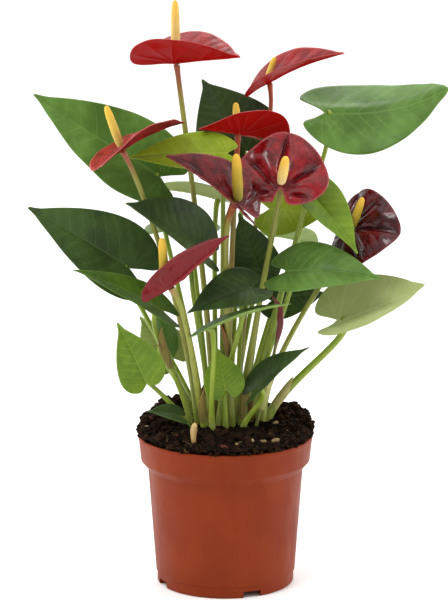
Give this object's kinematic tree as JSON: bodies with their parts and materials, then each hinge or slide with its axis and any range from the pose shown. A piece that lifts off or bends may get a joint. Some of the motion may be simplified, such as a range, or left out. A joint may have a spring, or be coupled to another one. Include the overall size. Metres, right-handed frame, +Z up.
{
  "type": "potted anthurium",
  "caption": "Bushy house plant with heart-shaped leaves and waxy red flowers, growing in soil in a round nursery pot with drainage notches.",
  "frame": {"origin": "centre of the pot's underside, on the surface that it stands on", "axes": "+Z up, +X to the right and -Y towards the viewer of the plant's fuller side"},
  "size_m": [0.2784, 0.1741, 0.401],
  "materials": {
    "terracotta_plastic": "satin",
    "peat_soil": "rough, crumbly",
    "leaf_green": "waxy satin",
    "spathe_red": "waxy gloss",
    "spadix_yellow": "matte, beaded",
    "stalk_green": "waxy satin",
    "shoot_tan": "matte, papery"
  },
  "bodies": {
    "root": {"pot": "terracotta_plastic", "potting_soil": "peat_soil", "leaf_01": "leaf_green", "leaf_02": "leaf_green", "leaf_03": "leaf_green", "leaf_04": "leaf_green", "leaf_05": "leaf_green", "leaf_06": "leaf_green", "leaf_07": "leaf_green", "leaf_08": "leaf_green", "leaf_09": "leaf_green", "leaf_10": "leaf_green", "leaf_11": "leaf_green", "leaf_12": "leaf_green", "leaf_13": "leaf_green", "leaf_14": "leaf_green", "leaf_15": "leaf_green", "leaf_16": "leaf_green", "leaf_17": "leaf_green", "leaf_18": "leaf_green", "leaf_19": "leaf_green", "leaf_20": "leaf_green", "leaf_21": "leaf_green", "leaf_22": "leaf_green", "leaf_23": "leaf_green", "leaf_24": "leaf_green", "leaf_25": "leaf_green", "leaf_26": "leaf_green", "spathe_1": "spathe_red", "spathe_2": "spathe_red", "spathe_3": "spathe_red", "spathe_4": "spathe_red", "spathe_5": "spathe_red", "spathe_6": "spathe_red", "spathe_7": "spathe_red", "spathe_8": "spathe_red", "flower_stem_1": "stalk_green", "flower_stem_2": "stalk_green", "flower_stem_3": "stalk_green", "flower_stem_4": "stalk_green", "flower_stem_5": "stalk_green", "flower_stem_6": "stalk_green", "flower_stem_7": "stalk_green", "flower_stem_8": "stalk_green", "spadix_1": "spadix_yellow", "spadix_2": "spadix_yellow", "spadix_3": "spadix_yellow", "spadix_4": "spadix_yellow", "spadix_5": "spadix_yellow", "spadix_6": "spadix_yellow", "spadix_7": "spadix_yellow", "spadix_8": "spadix_yellow", "flower_bud": "spathe_red", "young_shoot": "shoot_tan"}
  },
  "joints": []
}
